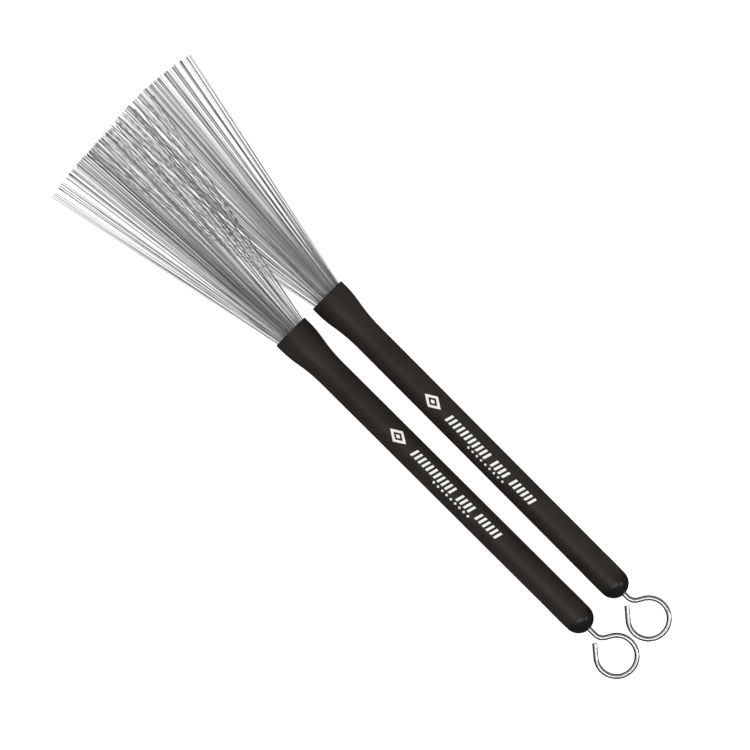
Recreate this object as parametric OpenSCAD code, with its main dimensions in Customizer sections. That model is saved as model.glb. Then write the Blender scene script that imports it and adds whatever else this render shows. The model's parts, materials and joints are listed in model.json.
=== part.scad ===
// A pair of retractable wire drum brushes, lying side by side on a table.
// Each brush is a rubber-covered tube. A pull rod with a hang loop slides in it and carries a
// collar with a fan of steel wires, which the rod draws back into the tube.
// +Y runs along the brushes to the wire tips, +Z is up, and the origin lies on the table,
// under the middle of the pair's box.

/* [Grip] */
// Length of the rubber grip, from mouth to rear end
grip_len = 192; // [175:1:210]
// Diameter of the grip's straight part
grip_d = 14; // [13.8:0.1:15]
// Diameter of the flared mouth
mouth_d = 18.3; // [18.3:0.1:19.5]
// Distance from the mouth to where the flare starts to narrow
flare_start = 3; // [2:0.5:4]
// Distance from the mouth to where the flare has become the straight part
flare_end = 27; // [25:1:32]

/* [Handle tube] */
// Outer diameter of the tube
tube_d = 11; // [10.9:0.1:11.4]
// Wall of the tube
tube_wall = 0.5; // [0.4:0.1:0.6]
// Bore of the tube at its belled front end
bell_bore_d = 16.4; // [16.3:0.1:16.8]
// How far the front end of the tube lies behind the rubber's lip
tube_setback = 0.6; // [0.3:0.1:1.5]

/* [Wires] */
// Diameter of one wire
wire_d = 0.28; // [0.24:0.01:0.29]
// Free length of a wire in front of its collar
wire_len = 148.7; // [140:0.1:155]
// Half angle of the fan
fan_angle = 12; // [9:0.5:12.5]
// Height from one row of wires to the next
row_pitch = 0.64; // [0.62:0.01:0.68]
// How far the wires stand out of the right brush's mouth
right_reach = 125; // [122:0.1:126]
// How far the wires stand out of the left brush's mouth
left_reach = 123.3; // [121:0.1:126]

/* [Pull rod] */
// Diameter of the rod
rod_d = 2.4; // [2:0.1:2.6]
// Distance from the right grip's rear end to the corner where the rod turns to its hang loop
rod_out = 4.8; // [4:0.1:8]
// Diameter of the hang loop, measured to the middle of the rod
loop_d = 18.8; // [17:0.1:19]
// Distance from the corner to the middle of the hang loop
loop_back = 10.8; // [10.6:0.1:12.5]
// Bend radius of the corner, to the middle of the rod
corner_r = 5; // [3:0.1:5.5]
// Straight length at the open end of the hang loop
loop_tail = 6.6; // [4:0.1:7]

/* [Pair] */
// Distance between the two brushes' axes at their mouths
mouth_gap = 23.5; // [22.6:0.1:26]
// Angle by which each brush turns outward from the middle line
splay = 0.15; // [0:0.05:0.15]

/* [Hidden] */
$fn = 48;
lathe_fn = 96;
ring_fn = 24;
rows = 9;

grip_r = grip_d / 2;
mouth_r = mouth_d / 2;
tube_r = tube_d / 2;
bore_r = tube_r - tube_wall;
bell_r = bell_bore_d / 2;
wire_r = wire_d / 2;
rod_r = rod_d / 2;
loop_r = loop_d / 2;

// The flare and the bell are each two arcs that meet without a corner. The share is how much
// of the run the front arc takes.
flare_share = 0.4;
bell_share = 0.5;
bell_start = 0.4;
bell_end = 22;
arc_steps = 6;
lip_cut = 0.25;

// Rear end: the tube stops inside the grip's round end, on the flange of the plug.
dome_y = -(grip_len - grip_r);
cap_len = 10;
tube_rear = -(grip_len - cap_len);
plug_len = 16;
flange_len = 1.2;
flange_fit = 0.02;
rod_fit = 0.06;
grip_hole_fit = 0.25;

// Collar: two lands run in the tube, and a rubber ring between them holds the rod by friction.
collar_len = 14;
collar_neck_r = 3.9;
bore_fit = 0.08;
land_len = 2.5;
rear_land_len = 4.6;
ring_r = 0.8;
ring_fit = 0.04;
groove_fit = 0.04;
ring_play = 0.1;
groove_w = 2 * (ring_r + ring_play);
groove_r = bore_r - ring_fit - 2 * ring_r - groove_fit;
socket_depth = 5;
held_len = 8;
slot_fit = 0.02;

// Wires: the rows make a round bundle in the collar, and each row spreads as a flat fan.
wire_pitch = wire_d + 0.03;
bundle_r = 2.85;
row_shift = row_pitch / 4;
row_stagger = 0.015;

// Where a bent rod or wire changes direction, its stretches stop a short gap before the point
// and a ball a little thicker than the rod or wire joins them.
rod_gap = 0.05;
rod_ball_r = rod_r + 0.03;
wire_gap = 0.03;
wire_ball_r = wire_r + 0.006;

// How far a cut reaches past what it cuts.
over = 1;

// Hang loop: the rod turns off its line, runs straight to the circle and goes round it.
rod_len = grip_len + rod_out - (wire_len - right_reach);
loop_turn = asin(loop_r / loop_back);
loop_open = 140;

// Lying on the table, a brush rests on its flare and its round end, so its front points up a little.
pitch = asin((mouth_r - grip_r) / (grip_len - grip_r - flare_start));
hook_rear = rod_len + loop_back + loop_r + rod_r;
pair_rear = hook_rear + wire_len - min(left_reach, right_reach);
mouth_y = (pair_rear - max(left_reach, right_reach)) / 2;

// Points of a double arc from [r0, -y0] to [r1, -y1]: the front arc bulges, the rear one hollows.
function double_arc(r0, y0, r1, y1, share) =
    let (
        turn = 2 * atan((r0 - r1) / (y1 - y0)),
        both = (y1 - y0) / sin(turn),
        front = both * share,
        rear = both - front
    )
    concat(
        [for (i = [0:arc_steps])
            let (a = turn * i / arc_steps)
            [r0 - front * (1 - cos(a)), -y0 - front * sin(a)]],
        [for (i = [arc_steps - 1:-1:0])
            let (a = turn * i / arc_steps)
            [r1 + rear * (1 - cos(a)), -y1 + rear * sin(a)]]
    );

// Outline of the grip's outside from its mouth to the straight part, and of the tube's bell,
// moved out by a given wall.
function flare_line() = double_arc(mouth_r, flare_start, grip_r, flare_end, flare_share);
function bell_line(wall) =
    double_arc(bell_r + wall, tube_setback + bell_start, bore_r + wall, bell_end, bell_share);

// A row's height in the bundle, how many wires it holds, where one of them stands across the
// bundle, and the angle at which it leaves. Each row spreads a little less or more than the next.
function row_height(k) = (k - (rows + 1) / 2) * row_pitch;
function row_wires(k) = 1 + floor(2 * sqrt(pow(bundle_r, 2) - pow(row_height(k), 2)) / wire_pitch);
function wire_x(k, i) = (i - (row_wires(k) - 1) / 2) * wire_pitch;
function wire_angle(k, i) =
    fan_angle * (1 - row_stagger * (k % 3)) * (2 * i / (row_wires(k) - 1) - 1);

// Turns what is drawn around Z so that it lies around the brush's own axis, Y.
module along_y() {
    rotate([-90, 0, 0]) children();
}

module lathe(points) {
    along_y() rotate_extrude($fn = lathe_fn) polygon(points);
}

// Puts a brush, drawn along Y with its mouth at 0, on the table. side is 1 for right, -1 for left.
module on_table(side) {
    translate([side * mouth_gap / 2, mouth_y, 0])
        rotate([0, 0, -side * splay])
            translate([0, dome_y, grip_r])
                rotate([pitch, 0, 0])
                    translate([0, -dome_y, 0])
                        children();
}

// Puts what the rod carries, drawn with the collar's front at 0, at the reach of its wires.
module on_rod(side) {
    on_table(side) translate([0, (side > 0 ? right_reach : left_reach) - wire_len, 0]) children();
}

// The left bundle is the right one turned over, so that the rows of the two fans pass
// between each other.
module turned_over(side) {
    rotate([0, side > 0 ? 0 : 180, 0]) children();
}

// Rubber sleeve: flared mouth, straight body, round rear end with a hole for the rod.
module grip() {
    color([0.11, 0.105, 0.1])
    difference() {
        union() {
            lathe(concat(
                [[0, 0], [mouth_r - lip_cut, 0], [mouth_r, -lip_cut]],
                flare_line(),
                [[grip_r, dome_y], [0, dome_y]]
            ));
            translate([0, dome_y, 0]) sphere(grip_r);
        }
        lathe(concat(
            [[0, over], [bell_r + tube_wall, over]],
            bell_line(tube_wall),
            [[tube_r, tube_rear - flange_len], [0, tube_rear - flange_len]]
        ));
        translate([0, -grip_len - over, 0]) along_y() cylinder(r = rod_r + grip_hole_fit, h = grip_len);
    }
}

// Thin metal tube under the rubber, belled out at the mouth for the fan.
module handle_tube() {
    color([0.72, 0.73, 0.75])
    lathe(concat(
        [[bell_r, -tube_setback], [bell_r + tube_wall, -tube_setback]],
        bell_line(tube_wall),
        [[tube_r, tube_rear], [bore_r, tube_rear]],
        [for (i = [2 * arc_steps:-1:0]) bell_line(0)[i]]
    ));
}

// Plug in the tube's rear end that guides the rod and stops the collar.
module end_plug() {
    color([0.2, 0.2, 0.21])
    difference() {
        union() {
            translate([0, tube_rear, 0]) along_y() cylinder(r = bore_r, h = plug_len);
            translate([0, tube_rear - flange_len, 0])
                along_y() cylinder(r = tube_r - flange_fit, h = flange_len);
        }
        translate([0, tube_rear - flange_len - over, 0])
            along_y() cylinder(r = rod_r + rod_fit, h = plug_len + flange_len + 2 * over);
    }
}

// Collar that holds the wires in flat rows at its front and the rod in a socket at its rear.
module wire_collar() {
    land_r = bore_r - bore_fit;
    groove_y = -collar_len + rear_land_len / 2;
    color([0.78, 0.63, 0.33])
    difference() {
        union() {
            translate([0, -collar_len, 0]) along_y() cylinder(r = collar_neck_r, h = collar_len);
            translate([0, -land_len, 0]) along_y() cylinder(r = land_r, h = land_len);
            translate([0, -collar_len, 0]) along_y() cylinder(r = land_r, h = rear_land_len);
        }
        translate([0, groove_y - groove_w / 2, 0])
            along_y() difference() {
                cylinder(r = bore_r, h = groove_w);
                translate([0, 0, -over]) cylinder(r = groove_r, h = groove_w + 2 * over);
            }
        translate([0, -collar_len - over, 0]) along_y() cylinder(r = rod_r, h = socket_depth + over);
        for (k = [1:rows])
            translate([0, (over - held_len) / 2, row_height(k) + row_shift])
                cube([2 * (abs(wire_x(k, 0)) + wire_r + slot_fit), held_len + over, wire_d + 2 * slot_fit],
                    center = true);
    }
}

// Rubber ring in the collar's groove.
module drag_ring() {
    color([0.06, 0.06, 0.06])
    translate([0, -collar_len + rear_land_len / 2, 0])
        along_y() rotate_extrude($fn = lathe_fn)
            translate([bore_r - ring_fit - ring_r, 0]) circle(ring_r, $fn = ring_fn);
}

// A straight stretch of the rod from the origin towards -Y, with a ball at its start.
module rod_stretch(length) {
    sphere(rod_ball_r);
    translate([0, -rod_gap, 0]) rotate([90, 0, 0]) cylinder(r = rod_r, h = length - rod_gap);
}

// A bent stretch of the rod around Z, turning from one angle to another at a given radius.
module rod_bend(radius, from, to) {
    gap = rod_gap / radius * 180 / PI;
    rotate([0, 0, from + gap])
        rotate_extrude(angle = to - from - 2 * gap, $fn = lathe_fn)
            translate([radius, 0]) circle(rod_r);
}

// Steel rod, from its socket in the collar to the hang loop that it is bent into.
module pull_rod() {
    corner_run = corner_r * tan(loop_turn / 2);
    slant = loop_back * cos(loop_turn);
    color([0.8, 0.8, 0.81])
    union() {
        translate([0, corner_run - rod_len, 0])
            rotate([0, 0, 180]) rod_stretch(rod_len - corner_run - collar_len + socket_depth);
        translate([corner_r, corner_run - rod_len, 0]) rod_bend(corner_r, 180, 180 + loop_turn);
        translate([0, -rod_len, 0]) rotate([0, 0, loop_turn]) {
            translate([0, -corner_run, 0]) rod_stretch(slant - corner_run - rod_gap);
            translate([0, -slant, 0]) sphere(rod_ball_r);
        }
        translate([0, -rod_len - loop_back, 0]) {
            rod_bend(loop_r, loop_open, 360 + loop_turn);
            rotate([0, 0, loop_open]) translate([loop_r, 0, 0]) rod_stretch(loop_tail);
        }
    }
}

// One row of wires: each runs straight through its slot and then out at its own angle.
module wire_row(k) {
    color([0.62, 0.62, 0.63])
    for (i = [0:row_wires(k) - 1])
        translate([wire_x(k, i), 0, row_height(k) + row_shift])
            union() {
                sphere(wire_ball_r);
                translate([0, -held_len, 0]) along_y() cylinder(r = wire_r, h = held_len - wire_gap);
                rotate([0, 0, -wire_angle(k, i)])
                    translate([0, wire_gap, 0]) along_y() cylinder(r = wire_r, h = wire_len - wire_gap);
            }
}

module right_grip() { on_table(1) grip(); }
module right_handle_tube() { on_table(1) handle_tube(); }
module right_end_plug() { on_table(1) end_plug(); }
module right_wire_collar() { on_rod(1) turned_over(1) wire_collar(); }
module right_drag_ring() { on_rod(1) drag_ring(); }
module right_pull_rod() { on_rod(1) pull_rod(); }
module right_wire_row(k) { on_rod(1) turned_over(1) wire_row(k); }

module left_grip() { on_table(-1) grip(); }
module left_handle_tube() { on_table(-1) handle_tube(); }
module left_end_plug() { on_table(-1) end_plug(); }
module left_wire_collar() { on_rod(-1) turned_over(-1) wire_collar(); }
module left_drag_ring() { on_rod(-1) drag_ring(); }
module left_pull_rod() { on_rod(-1) pull_rod(); }
module left_wire_row(k) { on_rod(-1) turned_over(-1) wire_row(k); }

right_grip();
right_handle_tube();
right_end_plug();
right_wire_collar();
right_drag_ring();
right_pull_rod();
for (k = [1:rows])
    right_wire_row(k);

left_grip();
left_handle_tube();
left_end_plug();
left_wire_collar();
left_drag_ring();
left_pull_rod();
for (k = [1:rows])
    left_wire_row(k);
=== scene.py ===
"""Looks of a pair of retractable wire drum brushes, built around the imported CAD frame."""

import json
import math
import random

import bpy
import numpy as np
from mathutils import Matrix, Vector


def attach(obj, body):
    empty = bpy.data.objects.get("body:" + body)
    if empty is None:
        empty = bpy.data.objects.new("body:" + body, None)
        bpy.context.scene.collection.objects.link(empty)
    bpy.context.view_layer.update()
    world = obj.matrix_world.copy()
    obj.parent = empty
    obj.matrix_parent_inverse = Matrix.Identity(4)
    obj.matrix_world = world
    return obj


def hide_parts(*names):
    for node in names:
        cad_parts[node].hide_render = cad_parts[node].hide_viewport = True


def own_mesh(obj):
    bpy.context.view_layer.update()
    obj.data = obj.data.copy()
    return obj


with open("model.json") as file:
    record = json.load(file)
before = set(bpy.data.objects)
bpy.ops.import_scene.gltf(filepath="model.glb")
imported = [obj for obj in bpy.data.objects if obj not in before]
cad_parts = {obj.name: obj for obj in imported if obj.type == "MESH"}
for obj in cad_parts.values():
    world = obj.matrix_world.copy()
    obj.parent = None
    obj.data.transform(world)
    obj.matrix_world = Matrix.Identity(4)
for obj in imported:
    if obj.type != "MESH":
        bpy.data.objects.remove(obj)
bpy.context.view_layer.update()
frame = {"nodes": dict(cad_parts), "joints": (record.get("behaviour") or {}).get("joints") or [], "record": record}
MM = 0.001
SIDES = ("right", "left")
ROWS = 9

# ---------------------------------------------------------------- where things are


class Brush:
    """One brush's own axes and its main lengths, all worked out from the frame.

    Its local frame has Y along the brush to the wire tips, X level and to the right, and its
    origin on the axis in the plane of the mouth.
    """

    def __init__(self, side):
        self.side = side
        self.sign = 1 if side == "right" else -1
        joint = next(j for j in frame["joints"] if j["name"] == f"{side}_pull")
        mounts = {m["name"]: m for m in frame["record"]["mounts"]}
        self.y_axis = -Vector(joint["axis"]).normalized()
        self.x_axis = self.y_axis.cross(Vector((0, 0, 1))).normalized()
        self.z_axis = self.x_axis.cross(self.y_axis)
        self.grip_r = mounts[f"{side}_grip_body"]["dims"]["r_mm"] * MM
        # The grip's mount is a point on the axis, and from it the origin moves up to the mouth.
        self.origin = Vector(mounts[f"{side}_grip_body"]["pos_m"])
        self.origin = self.origin + self.y_axis * self.reach(f"{side}_grip")[1]
        self.grip_len = -self.reach(f"{side}_grip")[0]
        self.tube_rear, self.tube_front = self.reach(f"{side}_handle_tube")
        self.collar_front = self.reach(f"{side}_wire_collar")[1]
        self.tips = self.reach(f"{side}_wire_row_{(ROWS + 1) // 2}")[1]
        self.hook_rear, self.rod_front = self.reach(f"{side}_pull_rod")
        self.mouth_r = self.radius(f"{side}_grip")
        self.loop_y = self.to_local(Vector(mounts[f"{side}_loop_hang"]["pos_m"])).y

    def points(self, node):
        """A CAD node's points, from the brush's origin."""
        mesh = frame["nodes"][node].data
        co = np.empty(len(mesh.vertices) * 3)
        mesh.vertices.foreach_get("co", co)
        return co.reshape(-1, 3) - np.array(self.origin)

    def reach(self, node):
        """Rearmost and foremost place of a node along the brush's axis."""
        along = self.points(node) @ np.array(self.y_axis)
        return float(along.min()), float(along.max())

    def radius(self, node):
        """Largest distance of a node from the brush's axis."""
        p = self.points(node)
        off = p - np.outer(p @ np.array(self.y_axis), np.array(self.y_axis))
        return float(np.linalg.norm(off, axis=1).max())

    def to_local(self, p):
        """A point of the row frame in the brush's local frame."""
        d = p - self.origin
        return Vector((d.dot(self.x_axis), d.dot(self.y_axis), d.dot(self.z_axis)))


brushes = {side: Brush(side) for side in SIDES}

# ---------------------------------------------------------------- materials


def nodes_of(name):
    """A new material, its node tree, its Principled shader and a maker of nodes."""
    mat = bpy.data.materials.new(name)
    mat.use_nodes = True
    tree = mat.node_tree
    shader = tree.nodes["Principled BSDF"]

    def make(kind, **inputs):
        node = tree.nodes.new(kind)
        for key, value in inputs.items():
            setattr(node, key, value)
        return node

    return mat, tree, shader, make


def coordinates(tree, make, stretch=(1, 1, 1)):
    """Places on the piece in metres; below 1, a stretch draws the pattern out along that axis."""
    where = make("ShaderNodeTexCoord")
    mapping = make("ShaderNodeMapping")
    mapping.inputs["Scale"].default_value = stretch
    tree.links.new(where.outputs["Object"], mapping.inputs["Vector"])
    return mapping.outputs["Vector"]


def noise(tree, make, vector, scale, detail=4.0, roughness=0.55):
    node = make("ShaderNodeTexNoise")
    node.inputs["Scale"].default_value = scale
    node.inputs["Detail"].default_value = detail
    node.inputs["Roughness"].default_value = roughness
    tree.links.new(vector, node.inputs["Vector"])
    return node.outputs["Fac"]


def ramp(tree, make, value, stops):
    """A colour ramp: stops are (place, colour or grey)."""
    node = make("ShaderNodeValToRGB")
    band = node.color_ramp
    while len(band.elements) < len(stops):
        band.elements.new(0.5)
    for element, (place, colour) in zip(band.elements, stops):
        element.position = place
        if isinstance(colour, (int, float)):
            colour = (colour, colour, colour)
        element.color = (*colour, 1)
    tree.links.new(value, node.inputs["Fac"])
    return node.outputs["Color"]


def bump(tree, make, shader, height, distance, strength):
    node = make("ShaderNodeBump")
    node.inputs["Distance"].default_value = distance
    node.inputs["Strength"].default_value = strength
    tree.links.new(height, node.inputs["Height"])
    tree.links.new(node.outputs["Normal"], shader.inputs["Normal"])


def attribute(make, name):
    node = make("ShaderNodeAttribute")
    node.attribute_name = name
    return node.outputs["Fac"]


def mixed(tree, make, share, a, b):
    """Mix of two colour outputs."""
    node = make("ShaderNodeMix", data_type="RGBA")
    tree.links.new(share, node.inputs[0])
    tree.links.new(a, node.inputs[6])
    tree.links.new(b, node.inputs[7])
    return node.outputs[2]


def grip_rubber(name, shine):
    """Matte black rubber with a fine moulded grain; its dipped round end is smoother and glossier."""
    mat, tree, shader, make = nodes_of(name)
    at = coordinates(tree, make)
    cloud = noise(tree, make, at, 60, 5)
    moulded_dark, moulded_light = (0.023, 0.018, 0.0147), (0.031, 0.0243, 0.020)
    dipped_dark, dipped_light = (0.0085, 0.0072, 0.0065), (0.012, 0.0102, 0.009)
    moulded = ramp(tree, make, cloud, [(0.3, moulded_dark), (0.7, moulded_light)])
    dipped = ramp(tree, make, cloud, [(0.3, dipped_dark), (0.7, dipped_light)])
    grain = noise(tree, make, at, 5200, 3, 0.6)
    smooth = attribute(make, "gloss")
    tree.links.new(mixed(tree, make, smooth, moulded, dipped), shader.inputs["Base Color"])
    matte = ramp(tree, make, noise(tree, make, at, 240, 4), [(0.3, 0.36), (0.7, 0.43)])
    shiny = ramp(tree, make, noise(tree, make, at, 420, 3), [(0.3, 0.23), (0.7, 0.29)])
    tree.links.new(mixed(tree, make, smooth, matte, shiny), shader.inputs["Roughness"])
    bump(tree, make, shader, grain, 0.03 * MM, 0.35)
    shader.inputs["Specular IOR Level"].default_value = shine
    return mat


def print_ink():
    """White pad-printed ink, a little uneven, worn through in tiny flecks."""
    mat, tree, shader, make = nodes_of("print_ink")
    at = coordinates(tree, make)
    flecks = noise(tree, make, at, 3500, 4, 0.7)
    worn, thin, full = (0.20, 0.20, 0.19), (0.90, 0.90, 0.89), (0.97, 0.97, 0.96)
    colour = ramp(tree, make, flecks, [(0.24, worn), (0.36, thin), (0.8, full)])
    tree.links.new(colour, shader.inputs["Base Color"])
    tree.links.new(ramp(tree, make, flecks, [(0.3, 0.62), (0.7, 0.5)]), shader.inputs["Roughness"])
    bump(tree, make, shader, flecks, 0.01 * MM, 0.4)
    return mat


def drawn_metal(name, tint, rough, streaks, grain, scale=2600):
    """Bright metal with fine marks and a little tarnish; streaks below 1 draw the marks out."""
    mat, tree, shader, make = nodes_of(name)
    along = coordinates(tree, make, (1, streaks, 1))
    fine = noise(tree, make, along, scale, 4, 0.6)
    cloud = noise(tree, make, coordinates(tree, make), 90, 4)
    dull = tuple(c * 0.8 for c in tint)
    tree.links.new(ramp(tree, make, cloud, [(0.3, dull), (0.65, tint)]), shader.inputs["Base Color"])
    uneven = ramp(tree, make, fine, [(0.3, rough * 0.9), (0.7, rough * 1.1)])
    tree.links.new(uneven, shader.inputs["Roughness"])
    shader.inputs["Metallic"].default_value = 1.0
    bump(tree, make, shader, fine, 0.01 * MM, grain)
    return mat


def wire_steel():
    """Spring wire: each wire has a tone of its own, and its grey wanders along its length."""
    mat, tree, shader, make = nodes_of("wire_steel")
    along = coordinates(tree, make, (1, 0.05, 1))
    streak = noise(tree, make, along, 1500, 3)
    tone = attribute(make, "tone")
    bright = ramp(tree, make, tone, [(0.0, (0.33, 0.322, 0.325)), (1.0, (1.0, 0.975, 0.985))])
    dark = ramp(tree, make, tone, [(0.0, (0.18, 0.175, 0.177)), (1.0, (0.90, 0.877, 0.886))])
    tree.links.new(mixed(tree, make, streak, dark, bright), shader.inputs["Base Color"])
    tree.links.new(ramp(tree, make, streak, [(0.3, 0.28), (0.7, 0.42)]), shader.inputs["Roughness"])
    shader.inputs["Metallic"].default_value = 1.0
    bump(tree, make, shader, streak, 0.004 * MM, 0.3)
    return mat


def turned_nylon():
    """Black plastic with faint rings across the brush, as a lathe leaves them."""
    mat, tree, shader, make = nodes_of("turned_nylon")
    at = coordinates(tree, make, (1, 12, 1))
    rings = noise(tree, make, at, 500, 3)
    tree.links.new(ramp(tree, make, rings, [(0.3, 0.020), (0.7, 0.034)]), shader.inputs["Base Color"])
    tree.links.new(ramp(tree, make, rings, [(0.3, 0.38), (0.7, 0.5)]), shader.inputs["Roughness"])
    bump(tree, make, shader, rings, 0.02 * MM, 0.4)
    return mat


materials = {
    "grip": grip_rubber("grip_rubber", 0.12),
    "grip_end": grip_rubber("grip_end_rubber", 0.2),
    "ink": print_ink(),
    "rod": drawn_metal("rod_steel", (0.42, 0.415, 0.42), 0.24, 0.3, 0.02, 300),
    "tube": drawn_metal("tube_aluminium", (0.80, 0.81, 0.82), 0.30, 0.03, 0.5),
    "collar": drawn_metal("collar_brass", (0.80, 0.60, 0.28), 0.30, 12, 0.5),
    "wires": wire_steel(),
    "plug": turned_nylon(),
}

# ---------------------------------------------------------------- mesh makers


def new_piece(name, verts, faces, material, attributes=()):
    """A smooth object in the row frame; attributes are (name, one value a point)."""
    mesh = bpy.data.meshes.new(name)
    mesh.from_pydata([tuple(v) for v in verts], [], faces)
    mesh.validate()
    for key, values in attributes:
        layer = mesh.attributes.new(key, "FLOAT", "POINT")
        layer.data.foreach_set("value", np.asarray(values, np.float32))
    mesh.polygons.foreach_set("use_smooth", [True] * len(mesh.polygons))
    mesh.materials.append(material)
    obj = bpy.data.objects.new(name, mesh)
    bpy.context.scene.collection.objects.link(obj)
    return obj


def placed(brush, points):
    """Local points of a brush as points in the row frame."""
    p = np.asarray(points, float)
    axes = np.array([brush.x_axis, brush.y_axis, brush.z_axis])
    return p @ axes + np.array(brush.origin)


def lathe(brush, name, profile, material, segments, attributes=()):
    """Closed outline of (radius, y) points turned round the brush's axis."""
    n = len(profile)
    turns = np.linspace(0, 2 * math.pi, segments, endpoint=False)
    points = [(r * math.sin(a), y, r * math.cos(a)) for a in turns for r, y in profile]
    faces = []
    for s in range(segments):
        t = (s + 1) % segments
        for i in range(n):
            j = (i + 1) % n
            faces.append((s * n + i, t * n + i, t * n + j, s * n + j))
    spread = [(key, [f(y) for _ in turns for _, y in profile]) for key, f in attributes]
    return new_piece(name, placed(brush, points), faces, material, spread)


def round_bar(path, radius, sides, cap):
    """Points and faces of a round bar along a path; cap is the size of its ends' chamfer."""
    path = np.asarray(path, float)
    step = np.gradient(path, axis=0)
    step /= np.linalg.norm(step, axis=1)[:, None]
    side = np.cross(step, [0, 0, 1])
    side /= np.linalg.norm(side, axis=1)[:, None]
    up = np.cross(side, step)
    behind, ahead = path[:1] + step[:1] * cap, path[-1:] - step[-1:] * cap
    path = np.concatenate([path[:1], behind, path[1:-1], ahead, path[-1:]])
    step, side, up = (np.concatenate([v[:1], v, v[-1:]]) for v in (step, side, up))
    radii = np.full(len(path), radius)
    radii[0] = radii[-1] = radius - cap
    turns = np.linspace(0, 2 * math.pi, sides, endpoint=False)
    across = np.cos(turns)[None, :, None] * side[:, None]
    rings = path[:, None] + radii[:, None, None] * (across + np.sin(turns)[None, :, None] * up[:, None])
    n = len(path)
    faces = [
        (i * sides + k, i * sides + (k + 1) % sides, (i + 1) * sides + (k + 1) % sides, (i + 1) * sides + k)
        for i in range(n - 1)
        for k in range(sides)
    ]
    faces.append(tuple(range(sides))[::-1])
    faces.append(tuple((n - 1) * sides + k for k in range(sides)))
    return rings.reshape(-1, 3), faces


def double_arc(r0, y0, r1, y1, share, steps=14):
    """Two arcs that meet without a corner, from (r0, y0) to (r1, y1): the first bulges."""
    turn = 2 * math.atan((r0 - r1) / (y0 - y1))
    both = (y0 - y1) / math.sin(turn)
    front, rear = both * share, both * (1 - share)
    points = []
    for i in range(steps + 1):
        a = turn * i / steps
        points.append((r0 - front * (1 - math.cos(a)), y0 - front * math.sin(a)))
    for i in range(steps - 1, -1, -1):
        a = turn * i / steps
        points.append((r1 + rear * (1 - math.cos(a)), y1 + rear * math.sin(a)))
    return points


def arc(cr, cy, radius, start, stop, steps):
    """Arc of (radius, y) points round (cr, cy); angles in degrees from the outward direction."""
    return [
        (cr + radius * math.cos(math.radians(a)), cy + radius * math.sin(math.radians(a)))
        for a in np.linspace(start, stop, steps)
    ]


# ---------------------------------------------------------------- handle

FLARE_START, FLARE_END, FLARE_SHARE = 3 * MM, 27 * MM, 0.4
BELL_R, TUBE_R, TUBE_WALL = 8.2 * MM, 5.5 * MM, 0.5 * MM
BELL_START, BELL_END, BELL_SHARE = 1 * MM, 22 * MM, 0.5
# The lip's outer and inner rounding, and how far the grip's lining stops short of the tube's edge.
LIP_R, INNER_LIP_R, LINING_SETBACK = 0.32 * MM, 0.18 * MM, 0.3 * MM
# The straight grip swells by a hair before its round end, which has a hole for the rod.
STRAIGHT_SETBACK, SWELL_LEN, SWELL = 8 * MM, 14 * MM, 0.07 * MM
HOLE_R, HOLE_FUNNEL, HOLE_CHAMFER = 1.45 * MM, 1.15, 0.2 * MM
# The grip's hollow ends this far behind the tube.
END_GAP = 1.3 * MM
# The round end's gloss grows over this length, and it starts this far before the round end.
GLOSS_FADE, GLOSS_LEAD = 2.0 * MM, 1.0 * MM


def bell(wall):
    """The tube's inner outline at its mouth, moved outward by the given wall."""
    return double_arc(BELL_R + wall, -BELL_START, TUBE_R - TUBE_WALL + wall, -BELL_END, BELL_SHARE)


def make_grip(b):
    """Rubber sleeve with a rounded lip, and a smooth, darker and glossier round end."""
    dome_y = -(b.grip_len - b.grip_r)
    out = double_arc(b.mouth_r, -FLARE_START, b.grip_r, -FLARE_END, FLARE_SHARE)
    straight_start, straight_end = -FLARE_END - STRAIGHT_SETBACK, dome_y + SWELL_LEN
    straight = [(b.grip_r, y) for y in np.linspace(straight_start, straight_end, 12)]
    near_end = [
        (b.grip_r + SWELL * math.sin(math.pi * t), dome_y + SWELL_LEN * (1 - t))
        for t in (0.25, 0.5, 0.75)
    ]
    hole_angle = math.degrees(math.acos(HOLE_R * HOLE_FUNNEL / b.grip_r))
    dome = arc(0, dome_y, b.grip_r, 0, -hole_angle, 18)
    rear_y = dome[-1][1]
    hole_end = b.tube_rear - END_GAP
    profile = (
        [(BELL_R + TUBE_WALL, b.tube_front - LINING_SETBACK)]
        + arc(BELL_R + TUBE_WALL + INNER_LIP_R, -INNER_LIP_R, INNER_LIP_R, 180, 90, 4)
        + arc(b.mouth_r - LIP_R, -LIP_R, LIP_R, 90, 0, 6)
        + out + straight + near_end + dome
        + [(HOLE_R, rear_y + HOLE_CHAMFER), (HOLE_R, hole_end), (TUBE_R, hole_end)]
        + bell(TUBE_WALL)[::-1]
    )
    gloss = [("gloss", lambda y: min(1.0, max(0.0, (dome_y + GLOSS_LEAD - y) / GLOSS_FADE)))]
    grip = lathe(b, f"{b.side}_grip_rubber", profile, materials["grip"], 144, gloss)
    grip.data.materials.append(materials["grip_end"])
    at_end = [b.to_local(face.center).y < dome_y for face in grip.data.polygons]
    grip.data.polygons.foreach_set("material_index", [int(end) for end in at_end])
    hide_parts(f"{b.side}_grip")
    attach(grip, f"{b.side}_handle")


def make_tube(b):
    """The metal tube, smooth in its bell, with a rounded front edge."""
    edge = TUBE_WALL / 2
    profile = (
        arc(BELL_R + edge, b.tube_front - edge, edge, 180, 0, 7)
        + bell(TUBE_WALL)
        + [(TUBE_R, b.tube_rear), (TUBE_R - TUBE_WALL, b.tube_rear)]
        + bell(0)[::-1]
    )
    piece = lathe(b, f"{b.side}_tube", profile, materials["tube"], 96)
    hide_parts(f"{b.side}_handle_tube")
    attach(piece, f"{b.side}_handle")


# ---------------------------------------------------------------- print

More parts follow.
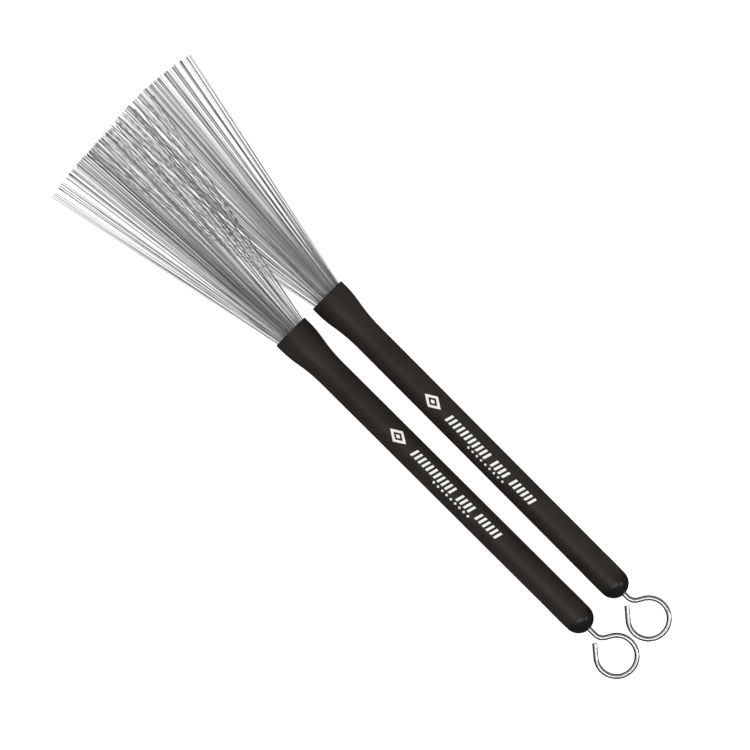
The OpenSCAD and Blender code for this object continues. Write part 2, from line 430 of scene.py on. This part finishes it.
# Generic marks stand where the real grip has lettering. A start is behind the mouth, a length runs
# along the grip, and the rest is across it.
PRINT_LIFT = 0.02 * MM
MARK = {"start": 63 * MM, "length": 10.2 * MM, "width": 6.6 * MM, "stroke": 1.15 * MM}
LINE = {"start": 77.6 * MM, "length": 55.4 * MM, "width": 4.0 * MM}
DOTS = {"start": 93.5 * MM, "length": 23.3 * MM, "width": 1.5 * MM, "across": -3.4 * MM}
# How far round the grip each brush's print is turned, measured on the surface.
PRINT_SHIFT = {"right": -0.1 * MM, "left": 0.8 * MM}
LOZENGE_CORE = 0.27
DOT_PITCH = 1.6
STROKE, STROKE_GAP, STROKE_LEAN = 1.25 * MM, 1.15 * MM, 1.1 * MM
# Where a stroke is left out, as a share of the line.
LINE_BREAKS = (0.47, 0.71)


def make_print(b):
    """A lozenge, a line of slanted strokes and a row of small diamonds, as thin ink on the grip."""
    points, faces = [], []
    r = b.grip_r + PRINT_LIFT
    turn = PRINT_SHIFT[b.side] / b.grip_r

    def on_grip(s, t):
        """Point on the grip's top: s behind the mouth, t across it."""
        a = t / b.grip_r + turn
        return (r * math.sin(a), -s, r * math.cos(a))

    def quad(corners, cells=6):
        """A four-cornered patch laid on the round grip, corners as (s, t)."""
        base = len(points)
        c = [np.array(p, float) for p in corners]
        for i in range(cells + 1):
            for j in range(cells + 1):
                u, v = i / cells, j / cells
                p = (c[0] * (1 - u) + c[1] * u) * (1 - v) + (c[3] * (1 - u) + c[2] * u) * v
                points.append(on_grip(*p))
        for i in range(cells):
            for j in range(cells):
                k = base + i * (cells + 1) + j
                faces.append((k, k + 1, k + cells + 2, k + cells + 1))

    middle = MARK["start"] + MARK["length"] / 2
    half_s, half_t = MARK["length"] / 2, MARK["width"] / 2
    inner = 1 - MARK["stroke"] * math.hypot(half_s, half_t) / (half_s * half_t)
    outer = [(half_s, 0), (0, half_t), (-half_s, 0), (0, -half_t)]
    for i in range(4):
        a, d = outer[i], outer[(i + 1) % 4]
        quad([(middle + x * k, y * k) for (x, y), k in ((a, inner), (a, 1), (d, 1), (d, inner))])
    quad([(middle + x * LOZENGE_CORE, y * LOZENGE_CORE) for x, y in outer])

    count = int((LINE["length"] - STROKE_LEAN + STROKE_GAP) / (STROKE + STROKE_GAP))
    pitch = (LINE["length"] - STROKE_LEAN - STROKE) / (count - 1)
    breaks = {round(count * share) for share in LINE_BREAKS}
    for i in range(count):
        if i in breaks:
            continue
        s = LINE["start"] + i * pitch
        t = LINE["width"] / 2
        quad([(s, -t), (s + STROKE, -t), (s + STROKE + STROKE_LEAN, t), (s + STROKE_LEAN, t)])

    dot, t = DOTS["width"], DOTS["across"]
    count = int(DOTS["length"] / (dot * DOT_PITCH))
    pitch = (DOTS["length"] - dot) / (count - 1)
    for i in range(count):
        s = DOTS["start"] + i * pitch
        quad([(s, t), (s + dot / 2, t - dot / 2), (s + dot, t), (s + dot / 2, t + dot / 2)], 3)

    ink = new_piece(f"{b.side}_print", placed(b, points), faces, materials["ink"])
    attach(ink, f"{b.side}_handle")


# ---------------------------------------------------------------- pull rod

ROD_R = 1.2 * MM
ROD_SIDES, ROD_CHAMFER = 32, 0.18 * MM
CORNER_R = 5 * MM
LOOP_BACK = 10.8 * MM
LOOP_OPEN = math.radians(140)
TAIL = 6.6 * MM


def rod_path(b):
    """Middle line of the rod, from the collar back to the open end of its hang loop.

    The corner is LOOP_BACK in front of the loop's middle, and the line from it touches the loop.
    """
    loop_r = b.loop_y - b.hook_rear - ROD_R
    corner_y = b.loop_y + LOOP_BACK
    turn = math.asin(loop_r / (corner_y - b.loop_y))
    run = CORNER_R * math.tan(turn / 2)
    path = [(0, y) for y in np.linspace(b.rod_front, corner_y + run, 40)]
    path += [
        (CORNER_R * (1 - math.cos(a)), corner_y + run - CORNER_R * math.sin(a))
        for a in np.linspace(0, turn, 14)[1:]
    ]
    path += [
        (loop_r * math.cos(a), b.loop_y + loop_r * math.sin(a))
        for a in np.linspace(turn, LOOP_OPEN - 2 * math.pi, 90)
    ]
    end = np.array(path[-1])
    heading = np.array([math.sin(LOOP_OPEN), -math.cos(LOOP_OPEN)])
    path += [tuple(end + heading * TAIL * k) for k in (0.33, 0.66, 1)]
    return [(x, y, 0) for x, y in path]


def make_rod(b):
    """The pull rod, bent into its hang loop."""
    points, faces = round_bar(rod_path(b), ROD_R, ROD_SIDES, ROD_CHAMFER)
    rod = new_piece(f"{b.side}_rod", placed(b, points), faces, materials["rod"])
    rod.data.set_sharp_from_angle(angle=math.radians(40))
    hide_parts(f"{b.side}_pull_rod")
    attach(rod, f"{b.side}_rod")


# ---------------------------------------------------------------- wires

WIRE_R = 0.14 * MM
WIRE_SIDES, WIRE_CHAMFER = 8, 0.05 * MM
# The length that the collar holds.
HELD = 8 * MM
FAN_ANGLE = math.radians(12.0)
ROW_PITCH = 0.64 * MM
ROW_WIRES = (9, 14, 17, 18, 19, 18, 17, 14, 9)
WIRE_PITCH = 0.31 * MM
STATIONS = 34
# Where the fan opens into gaps: the gap's place as a share of the fan's half width, half the
# gap's width in the same measure, and the share of the free length at which it begins.
GAPS = {
    "left": (
        (-0.88, 0.016, 0.30), (-0.70, 0.038, 0.10), (-0.565, 0.014, 0.15), (-0.48, 0.010, 0.55),
        (-0.30, 0.010, 0.50), (-0.11, 0.012, 0.35), (0.065, 0.014, 0.30), (0.25, 0.012, 0.20),
        (0.435, 0.014, 0.20), (0.66, 0.014, 0.30), (0.88, 0.012, 0.10),
    ),
    "right": (
        (-0.86, 0.018, 0.50), (-0.76, 0.018, 0.15), (-0.59, 0.014, 0.25), (-0.44, 0.014, 0.50),
        (-0.235, 0.020, 0.60), (-0.03, 0.028, 0.12), (0.17, 0.012, 0.45), (0.505, 0.020, 0.35),
        (0.62, 0.010, 0.50), (0.76, 0.024, 0.08), (0.90, 0.014, 0.40),
    ),
}
# A gap is full grown after this share of the length, and pushes wires this many widths away.
GAP_GROWTH, GAP_FALLOFF = 0.45, 2.5
# How much closer together the wires are in the middle of the fan, and how unevenly they lie.
CENTRED, JITTER, ROW_STAGGER = 0.44, 1.3, 0.003
# The wires lean to the fan's outer side, and gather in bunches: how many, and how closely.
OUTWARD = 0.18
BUNCHES = (17, 27)
BUNCHING = 0.38
BUNCH_START, BUNCH_GROWTH = 0.05, 0.6
# No wire goes past this share of the fan's half width.
SPREAD_LIMIT = 0.985
# The largest sideways bend at the tips, and the most by which a wire is cut short.
BEND, CUT_SHORT = 0.3 * MM, 0.9 * MM
# The rows part by this share of their height towards the tips.
ROW_SPREAD = 0.12
# The least pitch of neighbours in a row, as a number of wire radii.
LEAST_PITCH, SPACING_ROUNDS = 2.1, 30
# Above 1, more of the wires are dark than light.
TONE_POWER = 1.5


def fan_shares():
    """Every wire's place across the whole fan, by (row, wire): closer together in the middle."""
    ideal = sorted(
        (2 * (i + 0.5) / count - 1 + ROW_STAGGER * ((5 * k) % ROWS), k, i)
        for k, count in enumerate(ROW_WIRES)
        for i in range(count)
    )
    shares = {}
    for rank, (_, k, i) in enumerate(ideal):
        g = 2 * (rank + 0.5) / len(ideal) - 1
        shares[k, i] = (1 - CENTRED) * g + CENTRED * g**3
    return shares


def smooth_step(t):
    """Smooth growth from 0 to 1 as t goes from 0 to 1."""
    t = np.clip(t, 0, 1)
    return t * t * (3 - 2 * t)


def wire_lines(b, k, shares, rng):
    """The middle lines of one row's wires, in the brush's local frame, and a tone for each."""
    count = ROW_WIRES[k]
    height = ((k - (ROWS - 1) / 2) * ROW_PITCH + ROW_PITCH / 4) * b.sign
    length = b.tips - b.collar_front
    s = np.concatenate([[-HELD, -HELD * 0.4], np.linspace(0, length, STATIONS)])
    ahead = np.clip(s, 0, None)
    reach = (s + b.collar_front) / b.tips
    lines = np.zeros((count, len(s)))
    for i in range(count):
        f = shares[k, i] + rng.uniform(-JITTER, JITTER) / len(shares)
        f += b.sign * OUTWARD * (1 - f**2)
        waves = [math.sin(math.pi * n * f + b.sign * n) for n in BUNCHES]
        bunching = sum(BUNCHING / (math.pi * n) * wave for n, wave in zip(BUNCHES, waves))
        spread = f + bunching * smooth_step((reach - BUNCH_START) / BUNCH_GROWTH)
        for middle, width, begin in GAPS[b.side]:
            away = f - middle
            push = math.copysign(width, away) * math.exp(-abs(away) / (GAP_FALLOFF * width))
            spread = spread + push * smooth_step((reach - begin) / GAP_GROWTH)
        spread = np.clip(spread, -SPREAD_LIMIT, SPREAD_LIMIT)
        bend = rng.uniform(-BEND, BEND)
        start = (i - (count - 1) / 2) * WIRE_PITCH
        lines[i] = start + math.tan(FAN_ANGLE) * spread * ahead + bend * np.clip(reach, 0, 1) ** 2
    for _ in range(SPACING_ROUNDS):  # neighbours in a row lie beside each other and never cross
        close = np.clip(LEAST_PITCH * WIRE_R - np.diff(lines, axis=0), 0, None) / 2
        lines[:-1] -= close
        lines[1:] += close
    made = []
    for x in lines:
        run = np.hypot(np.gradient(x), np.gradient(s))
        along = np.concatenate([[0], np.cumsum((run[1:] + run[:-1]) / 2)])
        whole = HELD + length - rng.uniform(0, CUT_SHORT)
        y = np.interp(np.linspace(0, whole, len(s)), along, s)
        z = height * (1 + ROW_SPREAD * np.clip(y, 0, None) / length)
        made.append(np.stack([np.interp(y, s, x), y + b.collar_front, z], axis=1))
    return made, [rng.random() ** TONE_POWER for _ in range(count)]


def make_wires(b):
    """One piece for each row of wires, carried by the rod; the real row closes up as the rod draws it in."""
    rng = random.Random(f"{b.side} fan")
    shares = fan_shares()
    for k in range(ROWS):
        points, faces, tones = [], [], []
        for line, tone in zip(*wire_lines(b, k, shares, rng)):
            p, f = round_bar(line, WIRE_R, WIRE_SIDES, WIRE_CHAMFER)
            base = len(points)
            points += [tuple(v) for v in p]
            faces += [tuple(i + base for i in face) for face in f]
            tones += [tone] * len(p)
        name = f"{b.side}_wires_{k + 1}"
        wires = new_piece(name, placed(b, points), faces, materials["wires"], [("tone", tones)])
        wires.data.set_sharp_from_angle(angle=math.radians(50))
        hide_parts(f"{b.side}_wire_row_{k + 1}")
        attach(wires, f"{b.side}_rod")
        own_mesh(wires)


# ---------------------------------------------------------------- the pieces that stay CAD


def finish_cad_nodes(b):
    """Materials for the inner pieces whose CAD shape is right."""
    for part, material in (("wire_collar", "collar"), ("end_plug", "plug"), ("drag_ring", "grip")):
        obj = frame["nodes"][f"{b.side}_{part}"]
        obj.data.materials.clear()
        obj.data.materials.append(materials[material])


for brush in brushes.values():
    make_grip(brush)
    make_tube(brush)
    make_print(brush)
    make_rod(brush)
    make_wires(brush)
    finish_cad_nodes(brush)

# ---------------------------------------------------------------- stage, light, camera


def glowing(name, grey, glow):
    """Pale paper on a light table: faint fibres, and a glow of its own that hides soft shadows."""
    mat, tree, shader, make = nodes_of(name)
    fibres = noise(tree, make, coordinates(tree, make), 900, 5)
    base = ramp(tree, make, fibres, [(0.2, grey - 0.02), (0.8, grey)])
    tree.links.new(base, shader.inputs["Base Color"])
    shader.inputs["Roughness"].default_value = 0.9
    shader.inputs["Emission Color"].default_value = (1, 1, 1, 1)
    shader.inputs["Emission Strength"].default_value = glow
    bump(tree, make, shader, fibres, 0.02 * MM, 0.1)
    return mat


def make_stage():
    """A light table, and a pale dome far away that only the camera sees."""
    size, dome_r, dome_drop = 9.0, 8, 0.05
    corners = [(-size, -size, 0), (size, -size, 0), (size, size, 0), (-size, size, 0)]
    floor = new_piece("floor", corners, [(0, 1, 2, 3)], glowing("floor_paper", 0.92, 0.75))
    floor.visible_glossy = False
    rings, turns = 12, 48
    points = [
        (
            dome_r * math.cos(e) * math.cos(a),
            dome_r * math.cos(e) * math.sin(a),
            dome_r * math.sin(e) - dome_drop,
        )
        for e in np.linspace(0, math.pi / 2 - 0.02, rings)
        for a in np.linspace(0, 2 * math.pi, turns, endpoint=False)
    ]
    faces = [
        (r * turns + t, r * turns + (t + 1) % turns, (r + 1) * turns + (t + 1) % turns, (r + 1) * turns + t)
        for r in range(rings - 1)
        for t in range(turns)
    ]
    faces.append(tuple((rings - 1) * turns + t for t in range(turns)))
    dome = new_piece("dome", points, faces, glowing("dome_paper", 0.1, 1.0))
    for ray in ("diffuse", "glossy", "transmission", "volume_scatter", "shadow"):
        setattr(dome, f"visible_{ray}", False)


def area_light(name, place, target, size, power):
    """A rectangular lamp at a place, facing a target, with its power in watts."""
    data = bpy.data.lights.new(name, "AREA")
    data.shape = "RECTANGLE"
    data.size, data.size_y = size
    data.energy = power
    light = bpy.data.objects.new(name, data)
    light.location = place
    light.rotation_mode = "QUATERNION"
    light.rotation_quaternion = (Vector(target) - Vector(place)).to_track_quat("-Z", "Y")
    bpy.context.scene.collection.objects.link(light)


def make_world():
    """A studio that is bright overhead and dark below the horizon, a little brighter at +X."""
    world = bpy.data.worlds.new("studio")
    world.use_nodes = True
    tree = world.node_tree

    def make(kind):
        return tree.nodes.new(kind)

    where = make("ShaderNodeTexCoord")
    split = make("ShaderNodeSeparateXYZ")
    tree.links.new(where.outputs["Generated"], split.inputs[0])
    lean = make("ShaderNodeMath")
    lean.operation = "MULTIPLY_ADD"
    lean.inputs[1].default_value = 0.3
    tree.links.new(split.outputs["X"], lean.inputs[0])
    tree.links.new(split.outputs["Z"], lean.inputs[2])
    stops = [(0.0, 0.04), (0.05, 0.06), (0.15, 0.20), (0.60, 0.33), (0.90, 0.42)]
    sky = ramp(tree, make, lean.outputs[0], stops)
    tree.links.new(sky, tree.nodes["Background"].inputs["Color"])
    tree.nodes["Background"].inputs["Strength"].default_value = 1.0
    bpy.context.scene.world = world
    # The default view transform makes a white ground grey.
    bpy.context.scene.view_settings.view_transform = "Standard"


def make_camera():
    """Straight above the pair, turned so that the brushes lie along the picture's diagonal."""
    distance, lens = 1.5, 158.4
    look_at = Vector((0.0015, 0.0063, 0.009))
    data = bpy.data.cameras.new("camera")
    data.lens = lens
    data.sensor_width = 36
    data.clip_end = 20
    camera = bpy.data.objects.new("camera", data)
    up = Vector((1, 1, 0)).normalized()
    right = Vector((1, -1, 0)).normalized()
    back = right.cross(up)
    camera.matrix_world = Matrix(
        (
            (right.x, up.x, back.x, look_at.x),
            (right.y, up.y, back.y, look_at.y),
            (right.z, up.z, back.z, look_at.z + distance),
            (0, 0, 0, 1),
        )
    )
    bpy.context.scene.collection.objects.link(camera)
    bpy.context.scene.camera = camera


make_stage()
make_world()
area_light("overhead", (-0.06, 0.34, 1.1), (0, 0, 0), (0.8, 0.6), 2.9)
area_light("flank", (-0.12, -0.36, 0.85), (0, 0, 0), (0.9, 0.2), 3.4)
area_light("spark", (0.55, -0.75, 0.55), (0, -0.15, 0), (0.14, 0.14), 1.4)
make_camera()
